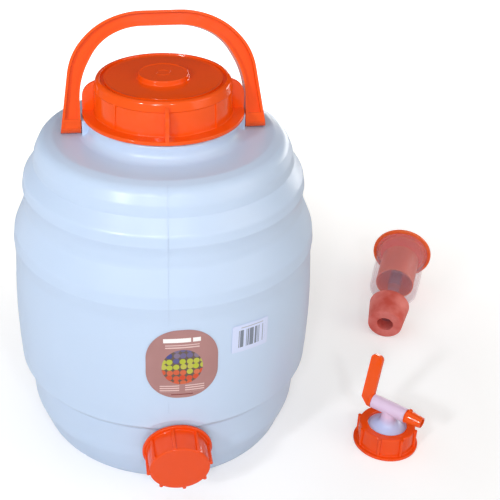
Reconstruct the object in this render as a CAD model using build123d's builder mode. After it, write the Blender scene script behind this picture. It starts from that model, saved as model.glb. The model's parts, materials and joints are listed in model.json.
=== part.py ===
from build123d import *
import os
from math import asin, atan2, cos, degrees, hypot, radians, sin, tan

os.makedirs("parts", exist_ok=True)

# A twelve litre fermentation barrel with its carrying handle, screw lid and outlet cap,
# and beside it on the same floor the airlock in its bung and the outlet tap.
# The barrel stands on Z = 0 with its axis on Z; its outlet faces -Y.

# Fits shared by all the pieces
running_gap = 0.3
pivot_play = 0.05
overrun = 6.0
edge_rounding = 0.8

# Barrel shell
wall = 2.4
belly_radius = 125.9
shoulder_level = 284.0
stand_share = 0.707
stand_width = 11.0
base_rise = 5.0
base_ramp = 6.0
base_rounding = 2.8
collar_step = 9.0
collar_height = 13.0
collar_root_rounding = 8.0
neck_radius = 50.0
neck_length = 25.3
neck_step_rise = 1.5

# Corners of the shell from the stand to the shoulder: share of the belly radius, share of
# the shoulder level and rounding as a share of the belly radius
belt_shares = (
    (0.840, 0.056, 0.170),
    (0.917, 0.151, 0.240),
    (0.922, 0.194, 0.050),
    (0.940, 0.271, 0.024),
    (0.987, 0.294, 0.024),
    (0.994, 0.363, 0.100),
    (1.000, 0.493, 3.600),
    (0.977, 0.648, 0.320),
    (0.984, 0.690, 0.032),
    (0.974, 0.724, 0.064),
    (0.905, 0.796, 0.095),
    (0.898, 0.831, 0.160),
    (0.905, 0.854, 0.024),
    (0.894, 0.882, 0.048),
    (0.828, 0.922, 0.010),
    (0.818, 0.951, 0.064),
    (0.778, 0.989, 0.080),
    (0.699, 1.000, 0.064),
)

# Ears for the handle on the collar
lug_reach = 5.0
lug_width = 14.0
handle_pivot_rise = 7.0
handle_pin_radius = 3.5
handle_pin_grip = 5.4

# Outlet low in the front of the shell
outlet_level = 58.2
outlet_setback = 8.7
outlet_droop = 8.5
outlet_neck_radius = 20.2
outlet_bore_radius = 16.5
outlet_cap_standoff = 1.8
pocket_radius = 34.0

# Screw lid
lid_flange_overhang = 4.4
lid_flange_thick = 3.2
lid_standoff = 2.1
lid_thread_gap = 2.0
lid_skirt_wall = 3.2
lid_skirt_slope = 1.2
lid_panel_depth = 0.7
lid_disc_thick = 2.6
lid_groove_floor = 2.2
lid_groove_width = 2.2
lid_crest_rise = 2.2
lid_crest_land = 5.9
lid_crest_rounding = 3.0
lid_shoulder_drop = 8.0
lid_shoulder_run = 2.1
lid_boss_radius = 20.2
lid_boss_height = 4.2
lid_boss_wall = 3.2
lid_boss_dish = 0.7
fin_count = 4
fin_thick = 2.8
fin_turn = -2.7
fin_setback = 0.3
fin_side_height = 19.0
fin_rounding = 13.0
fin_top_drop = 2.6
low_rib_width = 2.2
lid_seal_thick = 2.0
lid_seal_inset = 3.4

# Carrying handle: a strap of I section that leans back on its pins
handle_lean = 20.0
foot_gap = 0.8
foot_width = 16.0
foot_end = 6.6
strap_thick = 12.4
strap_web = 5.0
strap_rim = 2.0
grip_depth = 11.4
grip_underside = 73.9
foot_panel_level = 4.5
foot_dish_depth = 0.8

# Corners of the strap beside the pivot line, as a share of the foot's reach and a share of
# the grip's height, and how much of its shorter edge each corner is rounded over
strap_outer_shares = ((0.886, 0.629), (0.649, 0.880), (0.338, 1.0))
strap_inner_shares = ((1.0, 0.468), (0.747, 0.851), (0.404, 1.0))
strap_rounding_share = 0.49

# Outlet cap and union nut come from the same ribbed mould
cap_flange_radius = 28.2
cap_flange_thick = 2.6
cap_skirt_wall = 2.9
cap_thread_gap = 1.6
cap_taper = 0.5
cap_length = 22.0
cap_face_thick = 2.4
cap_face_rounding = 1.4
rib_count = 8
rib_reach = 1.9
rib_width = 3.0
rib_rounding = 1.3
cap_rib_turn = 10.0
cap_seal_thick = 1.8
cap_seal_inner_radius = 15.5

# Labels on the belly
label_thick = 0.3
label_lift = 0.12
label_width = 55.4
label_height = 62.2
label_corner = 25.0
label_level = 146.1
label_turn = 1.25
sticker_width = 33.5
sticker_height = 23.5
sticker_corner = 1.0
sticker_level = 159.7
sticker_turn = 27.1
sticker_tilt = 3.0

# Airlock, measured along its axis from the bung's small end
airlock_apart = 132.1
airlock_y = 140.0
airlock_heading = 66.0
bung_height = 36.0
bung_tip_radius = 17.0
bung_shoulder_radius = 20.3
bung_shoulder_drop = 5.5
bung_top_radius = 15.4
bung_edge_rounding = 0.8
stem_radius = 7.9
stem_wall = 1.9
stem_in_bung = 22.0
stem_reach = 20.0
cup_radius = 25.0
cup_mouth_radius = 26.3
cup_height = 64.0
cup_wall = 1.4
cup_floor = 1.8
cup_edge_rounding = 2.6
cup_boss_radius = 15.2
cup_boss_height = 1.8
cup_rim_radius = 27.6
cup_rim_thick = 1.5
cup_line_level = 22.0
cup_line_width = 1.0
cup_line_height = 0.3
riser_height = 51.0
riser_radius = 6.0
riser_wall = 1.3
bell_radius = 19.6
bell_wall = 1.2
bell_height = 41.0
airlock_lid_radius = 31.0
airlock_lid_edge = 3.4
airlock_lid_plate = 1.6
airlock_lid_plug_depth = 4.0
airlock_lid_dome = 1.2

# Outlet tap, standing on its union nut
tap_apart = 68.1
tap_y = -63.0
nut_height = 20.5
nut_ring_thick = 3.0
nut_hole_radius = 16.9
nut_rib_turn = 14.0
spigot_radius = 12.0
spigot_bore_radius = 8.5
collar_drop = 0.6
collar_thick = 3.3
collar_play = 0.9
washer_thick = 2.0
washer_play = 0.3
dome_radius = 16.2
dome_rise = 0.5
stem_foot_radius = 6.6
stem_foot_level = 29.0
dome_rounding = 14.0
tap_bore_radius = 3.6
tube_level = 37.0
tube_length = 32.0
tube_radius = 6.3
tube_wall = 1.6
tap_heading = -45.0
plug_rim_radius = 6.4
plug_rim_thick = 1.0
spout_length = 14.0
spout_tip_radius = 4.7
spout_root_length = 5.0
spout_lug_height = 3.2
spout_lug_length = 3.6
spout_lug_thick = 2.4
plug_floor = 2.4
ring_minor_radius = 0.7
ring_setback = 5.0
lever_height = 43.0
lever_width = 11.0
lever_thick = 3.5
lever_lean = 14.0
lever_corner = 4.0
lever_chamfer = 6.5
lever_hub_thick = 2.0
lever_pin_length = 4.0


def flat_face(corners):
    """A face in sketch coordinates from corners given as (across, up, rounding)."""
    with BuildSketch() as outline:
        with BuildLine():
            FilletPolyline(
                [(across, up) for across, up, rounding in corners],
                radius=[rounding for across, up, rounding in corners],
                close=True,
            )
        make_face()
    return outline.sketch


def eased_corners(corners, share):
    """Corners above the first one, each rounded over a share of its shorter edge."""
    eased = []
    for before, corner, after in zip(corners[-1:] + corners, corners, corners[1:] + corners[:1]):
        arriving = Vector(corner) - Vector(before)
        leaving = Vector(after) - Vector(corner)
        half_turn = radians(arriving.get_angle(leaving)) / 2
        tangent = share * min(arriving.length, leaving.length)
        eased.append((*corner, tangent / tan(half_turn) if corner[1] > corners[0][1] else 0))
    return eased


def closed_face(plane, corners):
    """The same face laid on a plane."""
    return plane.location * flat_face(corners)


# Sizes, levels and planes that several pieces share
stand_radius = stand_share * belly_radius
outlet_reach = belly_radius - outlet_setback
collar_radius = neck_radius + collar_step
lid_flange_radius = collar_radius + lid_flange_overhang
airlock_x = belly_radius + airlock_apart
tap_x = belly_radius + tap_apart
collar_top = shoulder_level + collar_height
mouth_level = collar_top + neck_length
pivot_level = shoulder_level + handle_pivot_rise
lug_face = collar_radius + lug_reach
outlet_neck_length = (
    outlet_cap_standoff + cap_length - cap_face_thick - cap_seal_thick - running_gap
)
outlet_direction = (0, -cos(radians(outlet_droop)), -sin(radians(outlet_droop)))
outlet_plane = Plane(
    origin=(0, -outlet_reach, outlet_level), x_dir=(1, 0, 0), z_dir=outlet_direction
)
outlet_axis = Axis(outlet_plane.origin, outlet_plane.z_dir)

# The shell's outline from the axis under the base to the axis in the mouth
stand_inner_radius = stand_radius - stand_width
shell_corners = [
    (0, base_rise, 0),
    (stand_inner_radius - base_ramp, base_rise, base_rounding),
    (stand_inner_radius, 0, base_rounding),
    (stand_radius, 0, base_rounding),
]
for radius_share, level_share, rounding_share in belt_shares:
    shell_corners.append(
        (radius_share * belly_radius, level_share * shoulder_level, rounding_share * belly_radius)
    )
shell_corners += [
    (collar_radius, shoulder_level, collar_root_rounding),
    (collar_radius, collar_top, base_rounding),
    (neck_radius, collar_top + neck_step_rise, edge_rounding),
    (neck_radius, mouth_level, 0),
    (0, mouth_level, 0),
]
shell_half = flat_face(shell_corners)

with BuildSketch(Plane.XZ) as cavity_half:
    add(shell_half)
    mirror(about=Plane.YZ)
    offset(amount=-wall)
    with Locations((0, mouth_level)):
        Rectangle(2 * (neck_radius - wall), 4 * wall)
    with Locations((belly_radius, mouth_level / 2)):
        Rectangle(2 * belly_radius, 2 * mouth_level, mode=Mode.INTERSECT)

with BuildPart() as cavity:
    add(cavity_half.sketch)
    revolve(axis=Axis.Z)
    with BuildSketch(outlet_plane.offset(-wall)):
        Circle(pocket_radius + wall)
    extrude(amount=belly_radius, mode=Mode.SUBTRACT)

with BuildPart() as barrel_shell:
    add(Plane.XZ.location * shell_half)
    revolve(axis=Axis.Z)
    with BuildSketch(outlet_plane):
        Circle(pocket_radius)
    extrude(amount=belly_radius, mode=Mode.SUBTRACT)
    with BuildSketch(Plane.XY.offset(shoulder_level)):
        Rectangle(2 * lug_face, lug_width)
        Circle(collar_radius - wall, mode=Mode.SUBTRACT)
    extrude(amount=collar_height)
    add(cavity.part, mode=Mode.SUBTRACT)
    with BuildSketch(outlet_plane.offset(-wall)):
        Circle(outlet_neck_radius)
    extrude(amount=wall + outlet_neck_length)
    with BuildSketch(outlet_plane.offset(-wall - overrun)):
        Circle(outlet_bore_radius)
    extrude(amount=wall + outlet_neck_length + 2 * overrun, mode=Mode.SUBTRACT)
    for side in (1, -1):
        with BuildSketch(Plane.YZ.offset(side * lug_face)):
            with Locations((0, pivot_level)):
                Circle(handle_pin_radius + pivot_play)
        extrude(amount=-side * (handle_pin_grip + running_gap - foot_gap), mode=Mode.SUBTRACT)
barrel_shell.part.label = "barrel_shell"
export_step(barrel_shell.part, "parts/barrel_shell.step")

# Lid: a ribbed cap whose ceiling carries the seal above the rim of the mouth
lid_skirt_inner = neck_radius + lid_thread_gap
lid_skirt_outer = lid_skirt_inner + lid_skirt_wall
lid_flange_bottom = collar_top + lid_standoff
lid_flange_top = lid_flange_bottom + lid_flange_thick
lid_ceiling = mouth_level + running_gap + lid_seal_thick
lid_groove_bottom = lid_ceiling + lid_groove_floor
lid_crest = lid_groove_bottom + lid_crest_rise
lid_band_radius = lid_skirt_outer - lid_skirt_slope
lid_panel_top = lid_crest - lid_shoulder_drop
lid_crest_radius = lid_band_radius - lid_shoulder_run
lid_disc_radius = lid_crest_radius - lid_crest_land
lid_disc_top = lid_groove_bottom + lid_crest_rise - edge_rounding
lid_disc_bottom = lid_disc_top - lid_disc_thick
lid_boss_top = lid_disc_top + lid_boss_height
lid_boss_inner = lid_boss_radius - lid_boss_wall
lid_seal_inner_radius = neck_radius - lid_seal_inset
lid_disc_inner = lid_seal_inner_radius - running_gap

# Four tall fins reach the flange's edge; a low rib stands midway between each pair
fin_reach = lid_flange_radius - fin_setback
fin_foot = lid_flange_top - lid_flange_thick / 2
fin_top = lid_flange_top + fin_side_height
fin_root = lid_skirt_inner + edge_rounding
with BuildPart() as fin:
    extrude(
        closed_face(
            Plane.XZ,
            (
                (fin_root, fin_foot, 0),
                (fin_reach, fin_foot, 0),
                (fin_reach, fin_top, fin_rounding),
                (lid_crest_radius, lid_crest - fin_top_drop, 0),
                (fin_root, lid_panel_top, 0),
            ),
        ),
        amount=fin_thick / 2,
        both=True,
    )

with BuildPart() as low_rib:
    extrude(
        closed_face(
            Plane.XZ,
            (
                (fin_root, fin_foot, 0),
                (lid_skirt_outer, fin_foot, 0),
                (lid_band_radius, lid_panel_top + edge_rounding, 0),
                (fin_root, lid_panel_top + edge_rounding, 0),
            ),
        ),
        amount=low_rib_width / 2,
        both=True,
    )

with BuildPart() as lid:
    add(
        closed_face(
            Plane.XZ,
            (
                (lid_skirt_inner, lid_flange_bottom, 0),
                (lid_flange_radius, lid_flange_bottom, edge_rounding),
                (lid_flange_radius, lid_flange_top, edge_rounding),
                (lid_skirt_outer - lid_panel_depth, lid_flange_top, edge_rounding),
                (lid_band_radius - lid_panel_depth, lid_panel_top, edge_rounding / 2),
                (lid_band_radius, lid_panel_top + edge_rounding, edge_rounding / 2),
                (lid_crest_radius, lid_crest, lid_crest_rounding),
                (lid_disc_radius + lid_groove_width + edge_rounding, lid_crest, edge_rounding / 2),
                (lid_disc_radius + lid_groove_width, lid_groove_bottom, 0),
                (lid_disc_radius, lid_groove_bottom, 0),
                (lid_disc_radius, lid_crest - edge_rounding / 2, 0),
                (lid_disc_radius - lid_groove_width, lid_disc_top, 0),
                (lid_boss_radius, lid_disc_top, edge_rounding),
                (lid_boss_radius - edge_rounding, lid_boss_top, edge_rounding),
                (lid_boss_inner + edge_rounding, lid_boss_top - lid_boss_dish, 0),
                (0, lid_boss_top - lid_boss_dish, 0),
                (0, lid_boss_top - lid_boss_dish - lid_disc_thick, 0),
                (lid_boss_inner, lid_boss_top - lid_boss_dish - lid_disc_thick, 0),
                (lid_boss_inner, lid_disc_bottom, 0),
                (lid_disc_inner, lid_disc_bottom, 0),
                (lid_disc_inner, lid_ceiling, 0),
                (lid_skirt_inner, lid_ceiling, 0),
            ),
        )
    )
    revolve(axis=Axis.Z)
    with PolarLocations(0, fin_count, start_angle=fin_turn - 90):
        add(fin.part)
    with PolarLocations(0, fin_count, start_angle=fin_turn - 90 + 180 / fin_count):
        add(low_rib.part)
lid.part.label = "lid"
export_step(lid.part, "parts/lid.step")

with BuildPart() as lid_seal:
    with BuildSketch(Plane.XY.offset(lid_ceiling - lid_seal_thick)):
        Circle(neck_radius + lid_thread_gap / 2)
        Circle(lid_seal_inner_radius, mode=Mode.SUBTRACT)
    extrude(amount=lid_seal_thick)
lid_seal.part.label = "lid_seal"
export_step(lid_seal.part, "parts/lid_seal.step")

# Handle, drawn on its leaning plane with the pivot line as the horizontal axis
handle_plane = Plane(
    origin=(0, 0, pivot_level),
    x_dir=(1, 0, 0),
    z_dir=(0, -cos(radians(handle_lean)), sin(radians(handle_lean))),
)
foot_inner = lug_face + foot_gap
foot_outer = foot_inner + foot_width
grip_top = grip_underside + grip_depth
outer_corners = [(foot_outer, -foot_end)]
for reach_share, rise_share in strap_outer_shares:
    outer_corners.append((reach_share * foot_outer, rise_share * grip_top))
inner_corners = [(foot_inner, -foot_end)]
for reach_share, rise_share in strap_inner_shares:
    inner_corners.append((reach_share * foot_inner, rise_share * grip_underside))
strap_corners = outer_corners + [(-x, y) for x, y in reversed(outer_corners)]
strap_corners += [(-x, y) for x, y in inner_corners] + list(reversed(inner_corners))
strap_face = flat_face(eased_corners(strap_corners, strap_rounding_share))
panel_depth = (strap_thick - strap_web) / 2

with BuildSketch(handle_plane) as web_panel:
    add(strap_face)
    offset(amount=-strap_rim)
    with Locations((0, foot_panel_level + grip_top)):
        Rectangle(2 * foot_outer + overrun, 2 * grip_top, mode=Mode.INTERSECT)

foot_centre = (foot_inner + foot_outer) / 2
with BuildSketch(handle_plane) as foot_panel:
    with Locations((foot_centre, 0), (-foot_centre, 0)):
        Rectangle(foot_width - 3 * strap_rim, 2 * (foot_panel_level - strap_rim))

with BuildPart() as carry_handle:
    extrude(handle_plane.location * strap_face, amount=strap_thick / 2, both=True)
    foot_edges = [
        edge
        for edge in carry_handle.edges().filter_by(Axis.X)
        if handle_plane.to_local_coords(edge.center()).Y < -foot_end + edge_rounding
    ]
    fillet(foot_edges, strap_thick / 2 - 2 * pivot_play)
    for side in (1, -1):
        extrude(
            web_panel.sketch.moved(Location(handle_plane.z_dir * side * strap_web / 2)),
            amount=panel_depth + overrun,
            dir=handle_plane.z_dir * side,
            mode=Mode.SUBTRACT,
        )
        extrude(
            foot_panel.sketch.moved(
                Location(handle_plane.z_dir * side * (strap_thick / 2 - foot_dish_depth))
            ),
            amount=overrun,
            dir=handle_plane.z_dir * side,
            mode=Mode.SUBTRACT,
        )
    for side in (1, -1):
        with BuildSketch(Plane.YZ.offset(side * (foot_inner + foot_width / 4))):
            with Locations((0, pivot_level)):
                Circle(handle_pin_radius)
        extrude(amount=-side * (handle_pin_grip + foot_width / 4))
carry_handle.part.label = "carry_handle"
export_step(carry_handle.part, "parts/carry_handle.step")

# The ribs that the outlet cap and the union nut share
cap_skirt_inner = outlet_neck_radius + cap_thread_gap
cap_skirt_outer = cap_skirt_inner + cap_skirt_wall
rib_tip_radius = cap_skirt_outer + rib_reach


def grip_ribs(plane, height, turn):
    """The ring of rounded ribs that stands on a cap's flange."""
    rib_root = cap_skirt_inner + cap_skirt_wall / 3
    with BuildPart() as ribs:
        with BuildSketch(plane.offset(cap_flange_thick / 2)):
            with PolarLocations((rib_root + rib_tip_radius) / 2, rib_count, start_angle=turn):
                RectangleRounded(rib_tip_radius - rib_root, rib_width, rib_rounding)
        extrude(amount=height - cap_flange_thick / 2)
    return ribs.part


def cap_skirt_corners(height):
    """The outside of a ribbed cap from its flange to its face."""
    return [
        (cap_skirt_inner, 0, 0),
        (cap_flange_radius, 0, edge_rounding),
        (cap_flange_radius, cap_flange_thick, edge_rounding),
        (cap_skirt_outer, cap_flange_thick, edge_rounding),
        (cap_skirt_outer - cap_taper, height, cap_face_rounding),
    ]


cap_plane = outlet_plane.offset(outlet_cap_standoff)
cap_section = Plane(origin=cap_plane.origin, x_dir=(1, 0, 0), z_dir=-outlet_plane.y_dir)
cap_ribs = grip_ribs(cap_plane, cap_length - edge_rounding, cap_rib_turn)
with BuildPart() as outlet_cap:
    add(
        closed_face(
            cap_section,
            cap_skirt_corners(cap_length)
            + [
                (0, cap_length, 0),
                (0, cap_length - cap_face_thick, 0),
                (cap_skirt_inner, cap_length - cap_face_thick, 0),
            ],
        )
    )
    revolve(axis=outlet_axis)
    add(cap_ribs)
outlet_cap.part.label = "outlet_cap"
export_step(outlet_cap.part, "parts/outlet_cap.step")

with BuildPart() as outlet_cap_seal:
    with BuildSketch(cap_plane.offset(cap_length - cap_face_thick - cap_seal_thick)):
        Circle(cap_skirt_inner - running_gap)
        Circle(cap_seal_inner_radius, mode=Mode.SUBTRACT)
    extrude(amount=cap_seal_thick)
outlet_cap_seal.part.label = "outlet_cap_seal"
export_step(outlet_cap_seal.part, "parts/outlet_cap_seal.step")

# Labels: thin skins cut from a band that follows the belly
with BuildSketch(Plane.XZ) as label_band:
    add(shell_half)
    mirror(about=Plane.YZ)
    offset(amount=label_lift + label_thick)
    with BuildSketch(mode=Mode.SUBTRACT):
        add(shell_half)
        mirror(about=Plane.YZ)
        offset(amount=label_lift)
    with Locations((belly_radius, label_level)):
        Rectangle(belly_radius, 2 * label_height, mode=Mode.INTERSECT)


def front_plane(turn):
    """An upright plane through the axis whose normal leaves the belly at this turn."""
    angle = radians(turn - 90)
    return Plane(origin=(0, 0, 0), x_dir=(-sin(angle), cos(angle), 0), z_dir=(cos(angle), sin(angle), 0))


with BuildPart() as front_label:
    with BuildSketch(front_plane(label_turn)):
        with Locations((0, label_level)):
            RectangleRounded(label_width, label_height, label_corner)
    extrude(amount=2 * belly_radius)
    revolve(label_band.sketch, axis=Axis.Z, mode=Mode.INTERSECT)
front_label.part.label = "front_label"
export_step(front_label.part, "parts/front_label.step")

with BuildPart() as barcode_sticker:
    with BuildSketch(front_plane(sticker_turn)):
        with Locations(Location((0, sticker_level), -sticker_tilt)):
            RectangleRounded(sticker_width, sticker_height, sticker_corner)
    extrude(amount=2 * belly_radius)
    revolve(label_band.sketch, axis=Axis.Z, mode=Mode.INTERSECT)
barcode_sticker.part.label = "barcode_sticker"
export_step(barcode_sticker.part, "parts/barcode_sticker.step")

# The airlock lies on the floor on two edges: the bung's small end and the cup's lower edge.
# The tilt is the one at which both rounded edges touch.
cup_bottom = bung_height + stem_reach
cup_top = cup_bottom + cup_height
edge_gap = cup_bottom + cup_edge_rounding - bung_edge_rounding
edge_step = (cup_radius - cup_edge_rounding) - (bung_tip_radius - bung_edge_rounding)
airlock_tilt = degrees(
    asin((cup_edge_rounding - bung_edge_rounding) / hypot(edge_gap, edge_step))
    + atan2(edge_step, edge_gap)
)
tilt_cos = cos(radians(airlock_tilt))
tilt_sin = sin(radians(airlock_tilt))
bung_end_level = (
    (bung_tip_radius - bung_edge_rounding) * tilt_cos + bung_edge_rounding - bung_edge_rounding * tilt_sin
)
head_cos = cos(radians(airlock_heading))
head_sin = sin(radians(airlock_heading))
airlock_direction = Vector(tilt_cos * head_cos, tilt_cos * head_sin, tilt_sin)
airlock_side = Vector(head_sin, -head_cos, 0)
half_run = cup_bottom * tilt_cos
airlock_origin = Vector(airlock_x - half_run * head_cos, airlock_y - half_run * head_sin, bung_end_level)
airlock_section = Plane(
    origin=airlock_origin, x_dir=airlock_side, z_dir=airlock_side.cross(airlock_direction)
)
airlock_axis = Axis(airlock_origin, airlock_direction)

bung_bore_radius = stem_radius + pivot_play
with BuildPart() as airlock_bung:
    add(
        closed_face(
            airlock_section,
            (
                (bung_bore_radius, 0, edge_rounding),
                (bung_tip_radius, 0, bung_edge_rounding),
                (bung_shoulder_radius, bung_height - bung_shoulder_drop, edge_rounding),
                (bung_top_radius, bung_height, edge_rounding),
                (bung_bore_radius, bung_height, edge_rounding),
            ),
        )
    )
    revolve(axis=airlock_axis)
airlock_bung.part.label = "airlock_bung"
export_step(airlock_bung.part, "parts/airlock_bung.step")

riser_top = cup_bottom + riser_height
line_bottom = cup_bottom + cup_line_level
line_radius = cup_radius + (cup_mouth_radius - cup_radius) * cup_line_level / cup_height
with BuildPart() as airlock_cup:
    add(
        closed_face(
            airlock_section,
            (
                (stem_radius - stem_wall, bung_height - stem_in_bung, 0),
                (stem_radius, bung_height - stem_in_bung, 0),
                (stem_radius, cup_bottom - cup_boss_height, edge_rounding),
                (cup_boss_radius, cup_bottom - cup_boss_height, edge_rounding),
                (cup_boss_radius, cup_bottom, 0),
                (cup_radius, cup_bottom, cup_edge_rounding),
                (line_radius, line_bottom, 0),
                (line_radius + cup_line_height, line_bottom + cup_line_width / 2, 0),
                (line_radius, line_bottom + cup_line_width, 0),
                (cup_mouth_radius, cup_top - cup_rim_thick, 0),
                (cup_rim_radius, cup_top - cup_rim_thick, 0),
                (cup_rim_radius, cup_top, 0),
                (cup_mouth_radius - cup_wall, cup_top, 0),
                (cup_radius - cup_wall, cup_bottom + cup_floor, edge_rounding),
                (riser_radius + riser_wall, cup_bottom + cup_floor, edge_rounding),
                (riser_radius, riser_top, 0),
                (riser_radius - riser_wall, riser_top, 0),
                (stem_radius - stem_wall, cup_bottom, 0),
            ),
        )
    )
    revolve(axis=airlock_axis)
airlock_cup.part.label = "airlock_cup"
export_step(airlock_cup.part, "parts/airlock_cup.step")

bell_ceiling = riser_top + running_gap
with BuildPart() as airlock_bell:
    add(
        closed_face(
            airlock_section,
            (
                (0, bell_ceiling, 0),
                (bell_radius - bell_wall, bell_ceiling, edge_rounding),
                (bell_radius - bell_wall, bell_ceiling - bell_height, 0),
                (bell_radius, bell_ceiling - bell_height, 0),
                (bell_radius, bell_ceiling + bell_wall, 2 * edge_rounding),
                (0, bell_ceiling + bell_wall, 0),
            ),
        )
    )
    revolve(axis=airlock_axis)
airlock_bell.part.label = "airlock_bell"
export_step(airlock_bell.part, "parts/airlock_bell.step")

airlock_lid_seat = cup_top + running_gap
airlock_lid_top = airlock_lid_seat + airlock_lid_edge - airlock_lid_plate
airlock_plug_radius = cup_mouth_radius - cup_wall - running_gap
with BuildPart() as airlock_lid:
    add(
        closed_face(
            airlock_section,
            (
                (0, airlock_lid_seat, 0),
                (airlock_plug_radius - airlock_lid_plate, airlock_lid_seat, 0),
                (airlock_plug_radius - airlock_lid_plate, airlock_lid_seat - airlock_lid_plug_depth, 0),
                (airlock_plug_radius, airlock_lid_seat - airlock_lid_plug_depth, 0),
                (airlock_plug_radius, airlock_lid_seat, 0),
                (cup_rim_radius + running_gap, airlock_lid_seat, 0),
                (cup_rim_radius + running_gap, airlock_lid_seat - airlock_lid_plate, 0),
                (airlock_lid_radius, airlock_lid_seat - airlock_lid_plate, edge_rounding),
                (airlock_lid_radius, airlock_lid_top, edge_rounding),
                (0, airlock_lid_top + airlock_lid_dome, 0),
            ),
        )
    )
    revolve(axis=airlock_axis)
airlock_lid.part.label = "airlock_lid"
export_step(airlock_lid.part, "parts/airlock_lid.step")

# Tap: the nut and the spigot stand on the floor, the cross tube lies level
tap_plane = Plane(origin=(tap_x, tap_y, 0), x_dir=(1, 0, 0), z_dir=(0, 0, 1))
tap_section = Plane(origin=tap_plane.origin, x_dir=(1, 0, 0), z_dir=(0, -1, 0))
tap_axis = Axis(tap_plane.origin, (0, 0, 1))
nut_ribs = grip_ribs(tap_plane, nut_height, nut_rib_turn)
with BuildPart() as union_nut:
    add(
        closed_face(
            tap_section,
            cap_skirt_corners(nut_height)
            + [
                (nut_hole_radius, nut_height, edge_rounding),
                (nut_hole_radius, nut_height - nut_ring_thick, 0),
                (cap_skirt_inner, nut_height - nut_ring_thick, 0),
            ],
        )
    )
    revolve(axis=tap_axis)
    add(nut_ribs)
union_nut.part.label = "union_nut"
export_step(union_nut.part, "parts/union_nut.step")

tap_collar_top = nut_height - nut_ring_thick - collar_drop
tap_collar_bottom = tap_collar_top - collar_thick
tap_collar_radius = cap_skirt_inner - collar_play
tube_direction = Vector(cos(radians(tap_heading)), sin(radians(tap_heading)), 0)
tube_side = Vector(-tube_direction.Y, tube_direction.X, 0)
tube_bore_radius = tube_radius - tube_wall
tube_start = Plane(
    origin=Vector(tap_x, tap_y, tube_level) - tube_direction * (tube_length / 2),
    x_dir=tube_side,
    z_dir=tube_direction,
)
tube_end = tube_start.offset(tube_length)
with BuildPart() as tap_body:
    add(
        closed_face(
            tap_section,
            (
                (tap_bore_radius, tap_collar_top, 0),
                (spigot_bore_radius, tap_collar_bottom, 0),
                (spigot_bore_radius, 0, 0),
                (spigot_radius, 0, 0),
                (spigot_radius, tap_collar_bottom, 0),
                (tap_collar_radius, tap_collar_bottom, 0),
                (tap_collar_radius, tap_collar_top, 0),
                (dome_radius, tap_collar_top + dome_rise, 0),
                (stem_foot_radius, (tap_collar_top + stem_foot_level) / 2 - dome_rise, dome_rounding / 2),
                (stem_foot_radius - dome_rise, tube_level, 0),
                (tap_bore_radius, tube_level, 0),
            ),
        )
    )
    revolve(axis=tap_axis)
    with BuildSketch(tube_start):
        Circle(tube_radius)
    extrude(amount=tube_length)
    with BuildSketch(tube_start.offset(-overrun)):
        Circle(tube_bore_radius)
    extrude(amount=tube_length + 2 * overrun, mode=Mode.SUBTRACT)
    with BuildSketch(tap_plane.offset(tap_collar_top)):
        Circle(tap_bore_radius)
    extrude(amount=tube_level - tap_collar_top, mode=Mode.SUBTRACT)
tap_body.part.label = "tap_body"
export_step(tap_body.part, "parts/tap_body.step")

with BuildPart() as tap_washer:
    with BuildSketch(tap_plane.offset(tap_collar_bottom - washer_thick)):
        Circle(tap_collar_radius)
        Circle(spigot_radius + washer_play, mode=Mode.SUBTRACT)
    extrude(amount=washer_thick)
tap_washer.part.label = "tap_washer"
export_step(tap_washer.part, "parts/tap_washer.step")

# Plug: it fills the cross tube, ends in the spout and turns with the lever
plug_radius = tube_bore_radius - pivot_play
plug_section = Plane(origin=tube_end.origin, x_dir=tube_side, z_dir=tube_side.cross(tube_direction))
tube_axis = Axis(tube_end.origin, tube_direction)
spout_tip = running_gap + plug_rim_thick + spout_length
ring_radius = plug_radius - ring_minor_radius
groove_half = ring_minor_radius + pivot_play
plug_end = -tube_length
ring_places = (-ring_setback, -tube_length + ring_setback + lever_pin_length)

groove_corners = []
for place in ring_places:
    groove_corners += [
        (plug_radius, place + groove_half, 0),
        (plug_radius - 2 * groove_half, place + groove_half, 0),
        (plug_radius - 2 * groove_half, place - groove_half, 0),
        (plug_radius, place - groove_half, 0),
    ]
with BuildPart() as tap_plug:
    add(
        closed_face(
            plug_section,
            [
                (0, plug_end + lever_pin_length + plug_floor, 0),
                (tap_bore_radius - 2 * groove_half, plug_end + lever_pin_length + plug_floor, 0),
                (tap_bore_radius - 2 * groove_half, 0, 0),
                (tap_bore_radius, spout_root_length, 0),
                (tap_bore_radius, spout_tip, 0),
                (spout_tip_radius, spout_tip, 0),
                (plug_rim_radius - running_gap, running_gap + plug_rim_thick + spout_root_length / 2, 0),
                (plug_rim_radius - running_gap, running_gap + plug_rim_thick, 0),
                (plug_rim_radius, running_gap + plug_rim_thick, 0),
                (plug_rim_radius, running_gap, 0),
                (plug_radius, running_gap, 0),
            ]
            + groove_corners
            + [
                (plug_radius, plug_end + lever_pin_length, 0),
                (0, plug_end + lever_pin_length, 0),
            ],
        )
    )
    revolve(axis=tube_axis)
    with BuildSketch(Plane(origin=(tap_x, tap_y, tube_level), x_dir=tube_direction, z_dir=tube_side)):
        Circle(tap_bore_radius - groove_half)
    extrude(amount=-plug_radius - overrun, mode=Mode.SUBTRACT)
    lug_bottom = plug_rim_radius - spout_lug_thick / 2
    with BuildSketch(
        Plane(
            origin=tube_end.origin + tube_direction * (running_gap + plug_rim_thick),
            x_dir=tube_direction,
            z_dir=-tube_side,
        )
    ):
        with BuildLine():
            Polyline(
                (0, lug_bottom),
                (spout_lug_length, lug_bottom),
                (spout_lug_length, lug_bottom + spout_lug_height),
                (spout_lug_length / 3, lug_bottom + spout_lug_height),
                close=True,
            )
        make_face()
    extrude(amount=spout_lug_thick / 2, both=True)
tap_plug.part.label = "tap_plug"
export_step(tap_plug.part, "parts/tap_plug.step")

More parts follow.
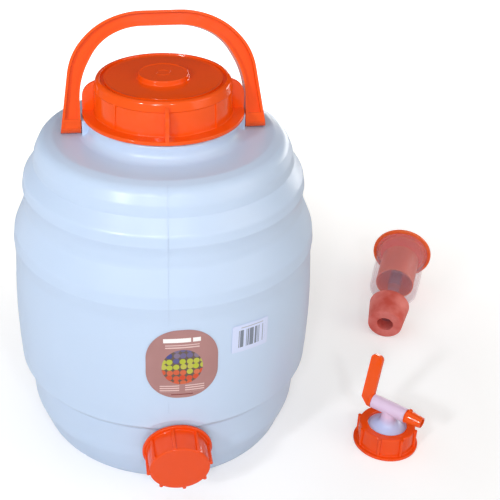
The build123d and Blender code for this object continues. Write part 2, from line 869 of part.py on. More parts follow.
with BuildPart() as plug_o_rings:
    for place in ring_places:
        with BuildSketch(plug_section):
            with Locations((ring_radius, place)):
                Circle(ring_minor_radius)
        revolve(axis=tube_axis)
plug_o_rings.part.label = "plug_o_rings"
export_step(plug_o_rings.part, "parts/plug_o_rings.step")

# Lever: a hub that closes the plug's far end, with a paddle that stands up and leans back
lever_up = Vector(0, 0, 1) * cos(radians(lever_lean)) + tube_side * sin(radians(lever_lean))
lever_plane = Plane(
    origin=tube_start.origin, x_dir=tube_direction, z_dir=tube_direction.cross(lever_up)
)
hub_start = tube_start.offset(-running_gap - lever_hub_thick)
paddle_right = -running_gap
paddle_left = paddle_right - lever_width
with BuildPart() as tap_lever:
    with BuildSketch(hub_start):
        Circle(plug_rim_radius)
    extrude(amount=lever_hub_thick)
    with BuildSketch(tube_start.offset(-running_gap - edge_rounding)):
        Circle(plug_radius)
    extrude(amount=lever_pin_length + running_gap + edge_rounding)
    extrude(
        closed_face(
            lever_plane,
            (
                (paddle_right, -plug_rim_radius, edge_rounding),
                (paddle_right, lever_height, lever_corner),
                (paddle_left, lever_height, lever_corner),
                (paddle_left, -plug_rim_radius + lever_chamfer, edge_rounding),
                (paddle_left + lever_chamfer, -plug_rim_radius, edge_rounding),
            ),
        ),
        amount=lever_thick / 2,
        both=True,
    )
tap_lever.part.label = "tap_lever"
export_step(tap_lever.part, "parts/tap_lever.step")
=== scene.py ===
import json
from math import cos, pi, radians, sin

import bmesh
import bpy
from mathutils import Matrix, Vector

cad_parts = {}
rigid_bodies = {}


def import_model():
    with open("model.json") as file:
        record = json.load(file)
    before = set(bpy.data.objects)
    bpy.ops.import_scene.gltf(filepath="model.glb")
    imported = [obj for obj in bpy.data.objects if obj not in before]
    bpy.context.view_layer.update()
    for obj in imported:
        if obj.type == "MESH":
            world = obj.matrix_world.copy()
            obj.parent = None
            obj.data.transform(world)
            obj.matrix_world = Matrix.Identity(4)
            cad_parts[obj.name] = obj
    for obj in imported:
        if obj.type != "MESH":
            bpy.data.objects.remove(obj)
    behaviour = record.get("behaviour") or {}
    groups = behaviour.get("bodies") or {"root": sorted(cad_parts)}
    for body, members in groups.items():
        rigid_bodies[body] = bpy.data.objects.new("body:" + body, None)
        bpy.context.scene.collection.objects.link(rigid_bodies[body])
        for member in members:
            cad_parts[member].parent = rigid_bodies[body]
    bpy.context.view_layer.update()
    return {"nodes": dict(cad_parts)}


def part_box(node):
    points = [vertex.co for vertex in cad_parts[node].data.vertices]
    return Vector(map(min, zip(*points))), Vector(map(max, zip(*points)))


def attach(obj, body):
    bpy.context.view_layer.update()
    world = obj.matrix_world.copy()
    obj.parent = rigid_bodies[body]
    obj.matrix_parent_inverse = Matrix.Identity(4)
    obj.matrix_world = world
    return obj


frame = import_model()
nodes = frame["nodes"]
bpy.ops.object.select_all(action="DESELECT")

# Camera: looks down on the barrel from the front and a little from the left. The barrel is
# in the left half of the picture, and the airlock and the tap are in the right.
camera_distance = 0.740
camera_height = 0.620
camera_turn = radians(-5.4)
camera_pitch = radians(31.16)
camera_across = camera_distance * sin(camera_turn)
camera_front = -camera_distance * cos(camera_turn)
bpy.ops.object.camera_add(
    location=(camera_across, camera_front, camera_height),
    rotation=(pi / 2 - camera_pitch, 0, camera_turn),
)
camera = bpy.context.object
camera.name = "camera"
camera.data.lens = 73.44
camera.data.sensor_width = 36.0
camera.data.shift_x = 0.1736
camera.data.clip_start = 0.01
bpy.context.scene.camera = camera

# Barrel shell: one hollow blow moulding of natural polyethylene, milky with a blue cast.
# Its wall lets light in, and its skin is satin with the slow ripple that the mould's
# blasted wall and the cooling leave.


def moulded_plastic(name, colour, deep, roughness, mottle, ripple, grain, scatter=0.0, shine=0.5):
    """Plastic with a slow drift between two shades, a ripple in its skin and a fine grain."""
    material = bpy.data.materials.new(name)
    material.use_nodes = True
    tree = material.node_tree
    shader = tree.nodes["Principled BSDF"]
    place = tree.nodes.new("ShaderNodeTexCoord")
    drift = tree.nodes.new("ShaderNodeTexNoise")
    drift.inputs["Scale"].default_value = mottle
    drift.inputs["Detail"].default_value = 4.0
    shades = tree.nodes.new("ShaderNodeMix")
    shades.data_type = "RGBA"
    shades.inputs["A"].default_value = (*colour, 1)
    shades.inputs["B"].default_value = (*deep, 1)
    gloss = tree.nodes.new("ShaderNodeMapRange")
    gloss.inputs["From Min"].default_value = 0.3
    gloss.inputs["From Max"].default_value = 0.7
    gloss.inputs["To Min"].default_value = roughness - 0.05
    gloss.inputs["To Max"].default_value = roughness + 0.05
    skin = tree.nodes.new("ShaderNodeTexNoise")
    skin.inputs["Scale"].default_value = ripple
    skin.inputs["Detail"].default_value = 1.0
    skin_bump = tree.nodes.new("ShaderNodeBump")
    skin_bump.inputs["Strength"].default_value = 0.10
    skin_bump.inputs["Distance"].default_value = 0.001
    fine = tree.nodes.new("ShaderNodeTexNoise")
    fine.inputs["Scale"].default_value = grain
    fine.inputs["Detail"].default_value = 2.0
    fine_bump = tree.nodes.new("ShaderNodeBump")
    fine_bump.inputs["Strength"].default_value = 0.10
    fine_bump.inputs["Distance"].default_value = 0.0002
    for noise in (drift, skin, fine):
        tree.links.new(place.outputs["Object"], noise.inputs["Vector"])
    tree.links.new(drift.outputs["Fac"], shades.inputs["Factor"])
    tree.links.new(shades.outputs["Result"], shader.inputs["Base Color"])
    tree.links.new(drift.outputs["Fac"], gloss.inputs["Value"])
    tree.links.new(gloss.outputs["Result"], shader.inputs["Roughness"])
    tree.links.new(skin.outputs["Fac"], skin_bump.inputs["Height"])
    tree.links.new(fine.outputs["Fac"], fine_bump.inputs["Height"])
    tree.links.new(skin_bump.outputs["Normal"], fine_bump.inputs["Normal"])
    tree.links.new(fine_bump.outputs["Normal"], shader.inputs["Normal"])
    shader.inputs["Specular IOR Level"].default_value = shine
    shader.inputs["Subsurface Weight"].default_value = scatter
    shader.inputs["Subsurface Radius"].default_value = (1.0, 0.95, 1.0)
    shader.inputs["Subsurface Scale"].default_value = 0.008
    return material


def dress(node, material):
    """Gives a solid of the frame its finish."""
    nodes[node].data.materials.clear()
    nodes[node].data.materials.append(material)


natural_plastic = moulded_plastic(
    "natural_polyethylene",
    colour=(0.58, 0.71, 0.95),
    deep=(0.54, 0.67, 0.91),
    roughness=0.34,
    mottle=5.0,
    ripple=38.0,
    grain=1400.0,
    scatter=0.3,
)
dress("barrel_shell", natural_plastic)

# Mould seam: the two halves of the blow mould meet on a plane through the barrel's axis,
# and leave a fine raised line up the front, above and below the label, and up the back. Each
# line is cut from a copy of the shell, and given a round section.


def only_selected(obj):
    """Makes one object the active and only selected one."""
    bpy.ops.object.select_all(action="DESELECT")
    obj.select_set(True)
    bpy.context.view_layer.objects.active = obj


def pick(obj, wanted):
    """Selects the vertices of an object in edit mode by their place."""
    mesh = bmesh.from_edit_mesh(obj.data)
    bpy.ops.mesh.select_all(action="DESELECT")
    for vertex in mesh.verts:
        vertex.select = wanted(vertex.co)
    mesh.select_flush(True)
    bmesh.update_edit_mesh(obj.data)


seam_turn = radians(-3.5)
seam_height = 0.00012
merge_distance = 0.00001
half_wall = 0.0012
clear_of_axis = 0.03
middle_reach = 0.02
seam_front = Vector((sin(seam_turn), -cos(seam_turn), 0))
seam_across = Vector((cos(seam_turn), sin(seam_turn), 0))
seam_runs = (
    ("seam_front_upper", seam_front, 0.1785, 0.2835),
    ("seam_front_lower", seam_front, 0.0950, 0.1140),
    ("seam_back", -seam_front, 0.0120, 0.2835),
)
for name, facing, lowest, highest in seam_runs:
    seam = bpy.data.objects.new(name, nodes["barrel_shell"].data.copy())
    bpy.context.scene.collection.objects.link(seam)
    only_selected(seam)
    bpy.ops.object.mode_set(mode="EDIT")
    bpy.ops.mesh.select_all(action="SELECT")
    bpy.ops.mesh.remove_doubles(threshold=merge_distance)
    bpy.ops.mesh.bisect(
        plane_co=(0, 0, 0),
        plane_no=seam_across,
        use_fill=False,
        clear_inner=True,
        clear_outer=True,
    )
    pick(seam, lambda co: co.dot(facing) < clear_of_axis or not lowest < co.z < highest)
    bpy.ops.mesh.delete(type="VERT")
    middle = (lowest + highest) / 2
    section = bmesh.from_edit_mesh(seam.data)
    places = [vertex.co for vertex in section.verts]
    outside = max(co.dot(facing) for co in places if abs(co.z - middle) < middle_reach)
    outer_skin = outside - half_wall
    pick(seam, lambda co: abs(co.z - middle) < middle_reach and co.dot(facing) > outer_skin)
    bpy.ops.mesh.select_linked()
    bpy.ops.mesh.select_all(action="INVERT")
    bpy.ops.mesh.delete(type="VERT")
    bpy.ops.object.mode_set(mode="OBJECT")
    bpy.ops.object.convert(target="CURVE")
    seam.data.bevel_depth = seam_height
    seam.data.bevel_resolution = 1
    seam.data.use_fill_caps = True
    bpy.ops.object.convert(target="MESH")
    seam = bpy.context.object
    bpy.ops.object.shade_smooth()
    seam.data.materials.clear()
    seam.data.materials.append(natural_plastic)
    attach(seam, "barrel")

# Neck thread: a right-handed ridge of 6 mm pitch blown with the shell, two turns round the
# neck, run out to nothing at both ends.


def thread_ridge(name, root, crest, width, pitch, start, steps):
    """A thread's ridge round Z: a trapezoid wound up two turns, with both ends run out."""
    turns = 2
    overlap = 0.0003
    crest_share = 0.45
    run_out = (0.02, 1, 0.1)
    tolerance = 0.00001
    sharp_angle = radians(35)
    sunk = root - overlap if crest > root else root + overlap
    middle = (sunk + crest) / 2
    bpy.ops.mesh.primitive_plane_add(size=1.0, location=(middle, 0, start), rotation=(pi / 2, 0, 0))
    ridge = bpy.context.object
    ridge.name = name
    bpy.ops.object.transform_apply(location=True, rotation=True, scale=True)
    bpy.ops.object.mode_set(mode="EDIT")
    bpy.ops.mesh.select_all(action="SELECT")
    bpy.ops.transform.resize(
        value=(abs(crest - sunk), 1, width), center_override=(middle, 0, start)
    )
    pick(ridge, lambda co: abs(co.x - crest) < tolerance)
    bpy.ops.transform.resize(value=(1, 1, crest_share), center_override=(crest, 0, start))
    bpy.ops.object.mode_set(mode="OBJECT")
    winding = ridge.modifiers.new("winding", "SCREW")
    winding.axis = "Z"
    winding.angle = 2 * pi
    winding.screw_offset = pitch
    winding.iterations = turns
    winding.steps = steps
    winding.render_steps = steps
    winding.use_merge_vertices = False
    bpy.ops.object.modifier_apply(modifier="winding")
    bpy.ops.object.mode_set(mode="EDIT")
    for end in (start, start + pitch * turns):
        pick(ridge, lambda co: co.x > 0 and abs(co.y) < tolerance and abs(co.z - end) < width)
        bpy.ops.transform.resize(value=run_out, center_override=(sunk, 0, end))
    bpy.ops.mesh.select_all(action="SELECT")
    bpy.ops.mesh.fill_holes(sides=0)
    bpy.ops.mesh.select_all(action="SELECT")
    bpy.ops.mesh.normals_make_consistent(inside=False)
    bpy.ops.object.mode_set(mode="OBJECT")
    bpy.ops.object.shade_smooth_by_angle(angle=sharp_angle)
    return ridge


def lay(piece, place, turn, material, body):
    """Turns a piece about X, sets it in place and fixes it to its body."""
    only_selected(piece)
    piece.rotation_euler = (turn, 0, 0)
    piece.location = place
    bpy.ops.object.transform_apply(location=True, rotation=True, scale=True)
    piece.data.materials.append(material)
    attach(piece, body)


neck_radius = 0.0500
neck_ridge_height = 0.0014
neck_ridge_width = 0.0024
neck_pitch = 0.0060
neck_thread_start = 0.3040
neck_thread_steps = 72
neck_thread = thread_ridge(
    "neck_thread",
    neck_radius,
    neck_radius + neck_ridge_height,
    neck_ridge_width,
    neck_pitch,
    neck_thread_start,
    neck_thread_steps,
)
lay(neck_thread, (0, 0, 0), 0, natural_plastic, "barrel")

# Outlet thread: the same kind of ridge of 4 mm pitch on the short outlet neck, which points
# forward and droops 8.5 degrees.
outlet_place = (0, -0.1172, 0.0582)
outlet_turn = radians(98.5)
outlet_radius = 0.0202
outlet_ridge_height = 0.0012
outlet_ridge_width = 0.0018
outlet_pitch = 0.0040
outlet_thread_start = 0.0065
outlet_thread_steps = 48
outlet_thread = thread_ridge(
    "outlet_thread",
    outlet_radius,
    outlet_radius + outlet_ridge_height,
    outlet_ridge_width,
    outlet_pitch,
    outlet_thread_start,
    outlet_thread_steps,
)
lay(outlet_thread, outlet_place, outlet_turn, natural_plastic, "barrel")

# Screw lid: injection moulded in orange polyethylene with a satin shine. Inside its skirt
# runs a thread ridge that lies half a pitch from the neck's. The runner's ring is left in
# the middle of the boss.
orange_plastic = moulded_plastic(
    "orange_polyethylene",
    colour=(0.93, 0.096, 0.003),
    deep=(0.85, 0.080, 0.002),
    roughness=0.13,
    mottle=11.0,
    ripple=120.0,
    grain=2200.0,
    shine=0.45,
)
dress("lid", orange_plastic)
lid_bore = 0.0520
lid_thread = thread_ridge(
    "lid_thread",
    lid_bore,
    lid_bore - neck_ridge_height,
    neck_ridge_width,
    neck_pitch,
    neck_thread_start - neck_pitch / 2,
    neck_thread_steps,
)
lay(lid_thread, (0, 0, 0), 0, orange_plastic, "screw_lid")

boss_hollow = 0.0007
boss_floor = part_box("lid")[1][2] - boss_hollow
bpy.ops.mesh.primitive_torus_add(
    location=(0, 0, boss_floor),
    major_radius=0.0052,
    minor_radius=0.0006,
    major_segments=48,
    minor_segments=8,
)
runner_ring = bpy.context.object
runner_ring.name = "lid_runner_ring"
bpy.ops.object.shade_smooth()
lay(runner_ring, runner_ring.location.copy(), 0, orange_plastic, "screw_lid")

# Carrying handle: a strap of I section in the same orange, moulded in one with its two pins
# and sprung into the ears of the collar.
dress("carry_handle", orange_plastic)

# Outlet cap: a ribbed orange cap, threaded inside and a shade deeper than the lid. The gate's
# small stub is left in the middle of its face.
cap_plastic = moulded_plastic(
    "orange_cap_polyethylene",
    colour=(0.89, 0.080, 0.004),
    deep=(0.79, 0.062, 0.003),
    roughness=0.14,
    mottle=16.0,
    ripple=140.0,
    grain=2200.0,
    shine=0.45,
)
dress("outlet_cap", cap_plastic)
cap_bore = 0.0218
cap_thread = thread_ridge(
    "cap_thread",
    cap_bore,
    cap_bore - outlet_ridge_height,
    outlet_ridge_width,
    outlet_pitch,
    outlet_thread_start - outlet_pitch / 2,
    outlet_thread_steps,
)
lay(cap_thread, outlet_place, outlet_turn, cap_plastic, "screw_cap")

cap_face = 0.0238
stub_taper = 0.7
stub_rim = 0.0004
stub_dimple = 0.0001
bpy.ops.mesh.primitive_cylinder_add(
    vertices=24, radius=0.0011, depth=0.0006, location=(0, 0, cap_face)
)
gate_stub = bpy.context.object
gate_stub.name = "cap_gate_stub"
bpy.ops.object.transform_apply(location=True, rotation=True, scale=True)
bpy.ops.object.mode_set(mode="EDIT")
pick(gate_stub, lambda co: co.z > cap_face)
bpy.ops.transform.resize(value=(stub_taper, stub_taper, 1), center_override=(0, 0, cap_face))
bpy.ops.mesh.inset(thickness=stub_rim)
bpy.ops.transform.translate(value=(0, 0, -stub_dimple))
bpy.ops.object.mode_set(mode="OBJECT")
bpy.ops.object.shade_smooth_by_angle(angle=radians(35))
lay(gate_stub, outlet_place, outlet_turn, cap_plastic, "screw_cap")

# Front label: a sheet of film glued round the belly, printed in dusty rose. White title bars
# stand over a round field of plain coloured dots, with ruled lines above and below it.


def math_step(tree, operation, first, second):
    """One step of a print's arithmetic; a plain number goes in as it is."""
    step = tree.nodes.new("ShaderNodeMath")
    step.operation = operation
    for socket, value in zip(step.inputs, (first, second)):
        if isinstance(value, (int, float)):
            socket.default_value = value
        else:
            tree.links.new(value, socket)
    return step.outputs["Value"]


def printed_bar(tree, across, up, centre, size):
    """1 inside a rectangle of the print and 0 outside it."""
    inside = []
    for axis, middle, length in zip((across, up), centre, size):
        away = math_step(tree, "ABSOLUTE", math_step(tree, "SUBTRACT", axis, middle), 0)
        inside.append(math_step(tree, "LESS_THAN", away, length / 2))
    return math_step(tree, "MULTIPLY", *inside)


def ink(tree, below, mask, colour):
    """Lays a colour, plain or worked out, over what is printed so far."""
    layer = tree.nodes.new("ShaderNodeMix")
    layer.data_type = "RGBA"
    tree.links.new(mask, layer.inputs["Factor"])
    tree.links.new(below, layer.inputs["A"])
    if isinstance(colour, tuple):
        layer.inputs["B"].default_value = (*colour, 1)
    else:
        tree.links.new(colour, layer.inputs["B"])
    return layer.outputs["Result"]


def print_place(tree, turn, level, tilt):
    """Distances across and up from a label's middle, as it lies round the belly."""
    place = tree.nodes.new("ShaderNodeTexCoord")
    face_front = tree.nodes.new("ShaderNodeMapping")
    face_front.inputs["Rotation"].default_value = (0, 0, -turn)
    face_front.inputs["Location"].default_value = (0, 0, -level)
    upright = tree.nodes.new("ShaderNodeMapping")
    upright.inputs["Rotation"].default_value = (0, tilt, 0)
    tree.links.new(place.outputs["Object"], face_front.inputs["Vector"])
    tree.links.new(face_front.outputs["Vector"], upright.inputs["Vector"])
    apart = tree.nodes.new("ShaderNodeSeparateXYZ")
    tree.links.new(upright.outputs["Vector"], apart.inputs["Vector"])
    return upright.outputs["Vector"], apart.outputs["X"], apart.outputs["Z"]


def paper(name, roughness, fibre):
    """A printed sheet: an empty shader with the fine tooth of its surface."""
    material = bpy.data.materials.new(name)
    material.use_nodes = True
    tree = material.node_tree
    shader = tree.nodes["Principled BSDF"]
    place = tree.nodes.new("ShaderNodeTexCoord")
    tooth = tree.nodes.new("ShaderNodeTexNoise")
    tooth.inputs["Scale"].default_value = fibre
    tooth.inputs["Detail"].default_value = 3.0
    bump = tree.nodes.new("ShaderNodeBump")
    bump.inputs["Strength"].default_value = 0.12
    bump.inputs["Distance"].default_value = 0.0002
    gloss = tree.nodes.new("ShaderNodeMapRange")
    gloss.inputs["To Min"].default_value = roughness - 0.06
    gloss.inputs["To Max"].default_value = roughness + 0.06
    tree.links.new(place.outputs["Object"], tooth.inputs["Vector"])
    tree.links.new(tooth.outputs["Fac"], bump.inputs["Height"])
    tree.links.new(bump.outputs["Normal"], shader.inputs["Normal"])
    tree.links.new(tooth.outputs["Fac"], gloss.inputs["Value"])
    tree.links.new(gloss.outputs["Result"], shader.inputs["Roughness"])
    return material, tree, shader


label_turn = radians(1.25)
label_level = 0.1461
label_film, tree, shader = paper("label_film", roughness=0.42, fibre=1500.0)
spot, across, up = print_place(tree, label_turn, label_level, 0)
drift = tree.nodes.new("ShaderNodeTexNoise")
drift.inputs["Scale"].default_value = 70.0
tree.links.new(spot, drift.inputs["Vector"])
ground = tree.nodes.new("ShaderNodeMix")
ground.data_type = "RGBA"
ground.inputs["A"].default_value = (0.430, 0.220, 0.212, 1)
ground.inputs["B"].default_value = (0.375, 0.187, 0.181, 1)
tree.links.new(drift.outputs["Fac"], ground.inputs["Factor"])
print_so_far = ground.outputs["Result"]
pale_rose = (0.74, 0.54, 0.52)
line_pitch = 0.0022
line_share = 0.45
line_blocks = (
    ((0.0, 0.0168), (0.0260, 0.0030)),
    ((-0.0098, -0.0222), (0.0150, 0.0066)),
    ((0.0098, -0.0222), (0.0150, 0.0066)),
)
for centre, size in line_blocks:
    block = printed_bar(tree, across, up, centre, size)
    stripe = math_step(tree, "FRACT", math_step(tree, "MULTIPLY", up, 1 / line_pitch), 0)
    lines = math_step(tree, "MULTIPLY", block, math_step(tree, "LESS_THAN", stripe, line_share))
    print_so_far = ink(tree, print_so_far, lines, pale_rose)
title_white = (0.92, 0.90, 0.90)
title_bars = (((-0.0040, 0.0222), (0.0210, 0.0036)), ((0.0110, 0.0222), (0.0060, 0.0036)))
for centre, size in title_bars:
    title = printed_bar(tree, across, up, centre, size)
    print_so_far = ink(tree, print_so_far, title, title_white)

field_radius = 0.0158
field_drop = 0.0020
above_field = math_step(tree, "ADD", up, field_drop)
across_squared = math_step(tree, "MULTIPLY", across, across)
above_squared = math_step(tree, "MULTIPLY", above_field, above_field)
from_middle = math_step(tree, "ADD", across_squared, above_squared)
field = math_step(tree, "LESS_THAN", from_middle, field_radius * field_radius)
flat_place = tree.nodes.new("ShaderNodeCombineXYZ")
tree.links.new(across, flat_place.inputs["X"])
tree.links.new(above_field, flat_place.inputs["Y"])
dots = tree.nodes.new("ShaderNodeTexVoronoi")
dots.voronoi_dimensions = "2D"
dots.inputs["Scale"].default_value = 195.0
dots.inputs["Randomness"].default_value = 0.2
tree.links.new(flat_place.outputs["Vector"], dots.inputs["Vector"])
bands = tree.nodes.new("ShaderNodeValToRGB")
bands.color_ramp.interpolation = "CONSTANT"
bands.color_ramp.elements[0].color = (0.62, 0.055, 0.015, 1)
bands.color_ramp.elements[1].position = 0.36
bands.color_ramp.elements[1].color = (0.44, 0.50, 0.030, 1)
blue_band = bands.color_ramp.elements.new(0.68)
blue_band.color = (0.055, 0.065, 0.26, 1)
rise = tree.nodes.new("ShaderNodeMapRange")
rise.inputs["From Min"].default_value = -field_radius
rise.inputs["From Max"].default_value = field_radius
dot_middle = tree.nodes.new("ShaderNodeSeparateXYZ")
tree.links.new(dots.outputs["Position"], dot_middle.inputs["Vector"])
tree.links.new(dot_middle.outputs["Y"], rise.inputs["Value"])
tree.links.new(rise.outputs["Result"], bands.inputs["Fac"])
field_brown = (0.13, 0.09, 0.07)
print_so_far = ink(tree, print_so_far, field, field_brown)
dot_size = 0.47
inside_dot = math_step(tree, "LESS_THAN", dots.outputs["Distance"], dot_size)
dot = math_step(tree, "MULTIPLY", field, inside_dot)
print_so_far = ink(tree, print_so_far, dot, bands.outputs["Color"])
dot_tint = tree.nodes.new("ShaderNodeSeparateColor")
tree.links.new(dots.outputs["Color"], dot_tint.inputs["Color"])
tint_share = 0.30
tint_yellow = (0.62, 0.42, 0.20)
tinted = math_step(tree, "MULTIPLY", dot_tint.outputs["Red"], tint_share)
print_so_far = ink(tree, print_so_far, math_step(tree, "MULTIPLY", dot, tinted), tint_yellow)
foot_red = (0.20, 0.035, 0.035)
foot_line = printed_bar(tree, across, up, (0.0, -0.0278), (0.0170, 0.0009))
print_so_far = ink(tree, print_so_far, foot_line, foot_red)
tree.links.new(print_so_far, shader.inputs["Base Color"])
dress("front_label", label_film)

# Stock sticker: a small white paper sticker, stuck on a little askew, printed with a row of
# plain grey bars of uneven width and one ruled line above them.
sticker_turn = radians(27.1)
sticker_level = 0.1597
sticker_tilt = radians(-3.0)
sticker_paper, tree, shader = paper("sticker_paper", roughness=0.55, fibre=1100.0)
spot, across, up = print_place(tree, sticker_turn, sticker_level, sticker_tilt)
tint = tree.nodes.new("ShaderNodeTexNoise")
tint.inputs["Scale"].default_value = 90.0
tree.links.new(spot, tint.inputs["Vector"])
sheet = tree.nodes.new("ShaderNodeMix")
sheet.data_type = "RGBA"
sheet.inputs["A"].default_value = (0.66, 0.73, 0.97, 1)
sheet.inputs["B"].default_value = (0.62, 0.69, 0.94, 1)
tree.links.new(tint.outputs["Fac"], sheet.inputs["Factor"])
bar_step = 0.00062
first_draw = 7.0
gap_share = 0.45
bar_grey = (0.20, 0.23, 0.30)
rule_grey = (0.42, 0.44, 0.52)
step_number = math_step(tree, "FLOOR", math_step(tree, "MULTIPLY", across, 1 / bar_step), 0)
chance = tree.nodes.new("ShaderNodeTexWhiteNoise")
chance.noise_dimensions = "1D"
tree.links.new(math_step(tree, "ADD", step_number, first_draw), chance.inputs["W"])
printed = math_step(tree, "GREATER_THAN", chance.outputs["Value"], gap_share)
bar_field = printed_bar(tree, across, up, (0.0012, -0.0003), (0.0250, 0.0150))
bars = math_step(tree, "MULTIPLY", bar_field, printed)
print_so_far = ink(tree, sheet.outputs["Result"], bars, bar_grey)
rule = printed_bar(tree, across, up, (0.0012, 0.0093), (0.0210, 0.0008))
print_so_far = ink(tree, print_so_far, rule, rule_grey)
tree.links.new(print_so_far, shader.inputs["Base Color"])
dress("barcode_sticker", sticker_paper)

# Seals: soft pale rubber rings in the lid, in the outlet cap, under the tap's collar and
# round the tap's plug.
seal_rubber = moulded_plastic(
    "pale_seal_rubber",
    colour=(0.72, 0.70, 0.63),
    deep=(0.64, 0.62, 0.56),
    roughness=0.58,
    mottle=60.0,
    ripple=200.0,
    grain=1800.0,
)
for seal in ("lid_seal", "outlet_cap_seal", "tap_washer", "plug_o_rings"):
    dress(seal, seal_rubber)

# Airlock cup: moulded in thin clear polystyrene with a slight lilac haze. The bell's colour
# shows through its wall.
cup_plastic = moulded_plastic(
    "hazy_clear_polystyrene",
    colour=(0.82, 0.56, 0.70),
    deep=(0.76, 0.52, 0.67),
    roughness=0.15,
    mottle=22.0,
    ripple=110.0,
    grain=1600.0,
)
cup_plastic.node_tree.nodes["Principled BSDF"].inputs["Alpha"].default_value = 0.15
dress("airlock_cup", cup_plastic)

# Airlock bell and lid: thin orange mouldings with a dull skin. The bell floats in the cup over
# the riser tube, and the lid plugs into the cup's mouth.
bell_plastic = moulded_plastic(
    "orange_bell_plastic",
    colour=(0.97, 0.15, 0.030),
    deep=(0.92, 0.12, 0.022),
    roughness=0.33,
    mottle=30.0,
    ripple=150.0,
    grain=2000.0,
    scatter=0.6,
)
for node in ("airlock_bell", "airlock_lid"):
    dress(node, bell_plastic)

# Bung: a tapered stopper of red natural rubber, pressed in a mould and bored for the airlock's
# stem. Its matt skin is chalked in uneven patches and finely pitted.
bung_rubber = bpy.data.materials.new("chalky_red_rubber")
bung_rubber.use_nodes = True
tree = bung_rubber.node_tree
shader = tree.nodes["Principled BSDF"]
place = tree.nodes.new("ShaderNodeTexCoord")
patches = tree.nodes.new("ShaderNodeTexNoise")
patches.inputs["Scale"].default_value = 55.0
patches.inputs["Detail"].default_value = 5.0
specks = tree.nodes.new("ShaderNodeTexNoise")
specks.inputs["Scale"].default_value = 900.0
specks.inputs["Detail"].default_value = 2.0
chalk = tree.nodes.new("ShaderNodeValToRGB")
chalk.color_ramp.elements[0].position = 0.34
chalk.color_ramp.elements[0].color = (0.66, 0.085, 0.060, 1)
chalk.color_ramp.elements[1].position = 0.68
chalk.color_ramp.elements[1].color = (0.84, 0.235, 0.205, 1)
bump = tree.nodes.new("ShaderNodeBump")
bump.inputs["Strength"].default_value = 0.25
bump.inputs["Distance"].default_value = 0.0003
gloss = tree.nodes.new("ShaderNodeMapRange")
gloss.inputs["To Min"].default_value = 0.50
gloss.inputs["To Max"].default_value = 0.72
for noise in (patches, specks):
    tree.links.new(place.outputs["Object"], noise.inputs["Vector"])
tree.links.new(patches.outputs["Fac"], chalk.inputs["Fac"])
tree.links.new(chalk.outputs["Color"], shader.inputs["Base Color"])
tree.links.new(specks.outputs["Fac"], bump.inputs["Height"])
tree.links.new(bump.outputs["Normal"], shader.inputs["Normal"])
tree.links.new(patches.outputs["Fac"], gloss.inputs["Value"])
tree.links.new(gloss.outputs["Result"], shader.inputs["Roughness"])
dress("airlock_bung", bung_rubber)

# Tap: body in natural polyethylene, with an orange plug through its tube and a paddle lever
# on the plug's end. The plug shows through the tube's thin wall as a pink cast.
tap_plastic = moulded_plastic(
    "natural_tap_plastic",
    colour=(0.56, 0.61, 0.88),
    deep=(0.52, 0.57, 0.84),
    roughness=0.36,
    mottle=20.0,
    ripple=130.0,
    grain=1800.0,
    scatter=0.3,
)
tree = tap_plastic.node_tree
shader = tree.nodes["Principled BSDF"]
place = tree.nodes.new("ShaderNodeTexCoord")
apart = tree.nodes.new("ShaderNodeSeparateXYZ")
cast = tree.nodes.new("ShaderNodeMapRange")
cast.inputs["From Min"].default_value = 0.022
cast.inputs["From Max"].default_value = 0.031
tree.links.new(place.outputs["Object"], apart.inputs["Vector"])
tree.links.new(apart.outputs["Z"], cast.inputs["Value"])
plain = shader.inputs["Base Color"].links[0].from_socket
pink_cast = (0.79, 0.58, 0.80)
tree.links.new(ink(tree, plain, cast.outputs["Result"], pink_cast), shader.inputs["Base Color"])
dress("tap_body", tap_plastic)
for node in ("tap_plug", "tap_lever"):
    dress(node, orange_plastic)

# Union nut: the same ribbed moulding as the outlet cap, with a hole in place of its face and
# the same thread inside. It holds the tap by its collar and stands upright on the floor.
dress("union_nut", cap_plastic)
nut_place = (0.194, -0.063, 0)
nut_thread_start = 0.0030
nut_thread = thread_ridge(
    "nut_thread",
    cap_bore,
    cap_bore - outlet_ridge_height,
    outlet_ridge_width,
    outlet_pitch,
    nut_thread_start,
    outlet_thread_steps,
)
lay(nut_thread, nut_place, 0, cap_plastic, "nut")

# Studio: a pale floor with a painted glow seen only by the camera, weak near the pieces and white
# further out, so the floor round the pieces is painted greyer as shade; a row of small soft lamps
# in front, weak ones at the side and above, two low ones behind, and a room lighter in front.
# The one behind on the left is kept out of the gloss, where it would be a square on the lid.
floor_material = bpy.data.materials.new("floor_white")
floor_material.use_nodes = True
tree = floor_material.node_tree
shader = tree.nodes["Principled BSDF"]
shader.inputs["Base Color"].default_value = (0.70, 0.70, 0.71, 1)
shader.inputs["Roughness"].default_value = 0.9
shader.inputs["Specular IOR Level"].default_value = 0.1
shader.inputs["Emission Color"].default_value = (1, 1, 1, 1)
place = tree.nodes.new("ShaderNodeTexCoord")
centred = tree.nodes.new("ShaderNodeMapping")
centred.inputs["Location"].default_value = (-0.10, 0, 0)
spread = tree.nodes.new("ShaderNodeVectorMath")
spread.operation = "LENGTH"
# Painted glow: the floor gives off light for camera rays only, weakest near the pieces, where the
# floor is painted darker as shade, and painted white further out.
painted_glow = tree.nodes.new("ShaderNodeMapRange")
painted_glow.inputs["From Min"].default_value = 0.20
painted_glow.inputs["From Max"].default_value = 0.80
painted_glow.inputs["To Min"].default_value = 0.38
painted_glow.inputs["To Max"].default_value = 0.95
seen = tree.nodes.new("ShaderNodeLightPath")
tree.links.new(place.outputs["Object"], centred.inputs["Vector"])
tree.links.new(centred.outputs["Vector"], spread.inputs[0])
tree.links.new(spread.outputs["Value"], painted_glow.inputs["Value"])
tree.links.new(
    math_step(tree, "MULTIPLY", painted_glow.outputs["Result"], seen.outputs["Is Camera Ray"]),
    shader.inputs["Emission Strength"],
)
bpy.ops.mesh.primitive_plane_add(size=8.0, location=(0, 0, -0.0002))
floor = bpy.context.object
floor.name = "floor"
floor.data.materials.append(floor_material)

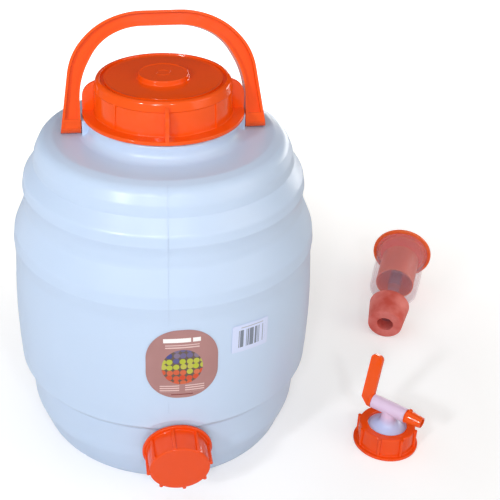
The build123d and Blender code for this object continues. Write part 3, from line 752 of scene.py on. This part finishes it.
studio = bpy.data.worlds.new("studio")
bpy.context.scene.world = studio
studio.use_nodes = True
tree = studio.node_tree
sky = tree.nodes["Background"]
sky.inputs["Color"].default_value = (1.0, 0.95, 0.88, 1)
room = tree.nodes.new("ShaderNodeTexCoord")
room_parts = tree.nodes.new("ShaderNodeSeparateXYZ")
room_light = tree.nodes.new("ShaderNodeMapRange")
room_light.inputs["From Min"].default_value = -0.8
room_light.inputs["From Max"].default_value = 0.8
room_light.inputs["To Min"].default_value = 0.60
room_light.inputs["To Max"].default_value = 0.10
tree.links.new(room.outputs["Generated"], room_parts.inputs["Vector"])
tree.links.new(room_parts.outputs["Y"], room_light.inputs["Value"])
tree.links.new(room_light.outputs["Result"], sky.inputs["Strength"])
white = tree.nodes.new("ShaderNodeBackground")
white.inputs["Color"].default_value = (1, 1, 1, 1)
seen = tree.nodes.new("ShaderNodeLightPath")
either = tree.nodes.new("ShaderNodeMixShader")
tree.links.new(seen.outputs["Is Camera Ray"], either.inputs["Fac"])
tree.links.new(sky.outputs["Background"], either.inputs[1])
tree.links.new(white.outputs["Background"], either.inputs[2])
tree.links.new(either.outputs["Shader"], tree.nodes["World Output"].inputs["Surface"])

lamp_aim = Vector((0.05, 0.0, 0.15))
lamps = (
    ("left_lamp", (-1.15, -1.35, 1.10), (0.19, 0.19), 12.6, (0.93, 0.97, 1.0)),
    ("middle_lamp", (-0.45, -1.70, 1.30), (0.15, 0.15), 8.5, (0.93, 0.97, 1.0)),
    ("right_lamp", (0.25, -1.75, 1.35), (0.15, 0.15), 5.2, (0.93, 0.97, 1.0)),
    ("side_lamp", (1.35, -0.80, 0.90), (1.0, 1.0), 5.0, (1.0, 0.88, 0.74)),
    ("top_lamp", (-0.3, 0.1, 1.9), (1.0, 1.0), 1.0, (0.97, 0.98, 1.0)),
    ("back_left_lamp", (-1.5, 1.1, 0.30), (1.6, 0.4), 12.0, (1.0, 0.99, 0.97)),
    ("back_right_lamp", (1.2, 1.5, 0.30), (1.6, 0.4), 12.0, (1.0, 0.99, 0.97)),
)
for name, stand, size, power, tone in lamps:
    facing = (lamp_aim - Vector(stand)).to_track_quat("-Z", "Y").to_euler()
    bpy.ops.object.light_add(type="AREA", location=stand, rotation=facing)
    lamp = bpy.context.object
    lamp.name = name
    lamp.data.shape = "RECTANGLE"
    lamp.data.size = size[0]
    lamp.data.size_y = size[1]
    lamp.data.energy = power
    lamp.data.color = tone
bpy.data.objects["back_left_lamp"].visible_glossy = False
bpy.context.scene.view_settings.view_transform = "Standard"
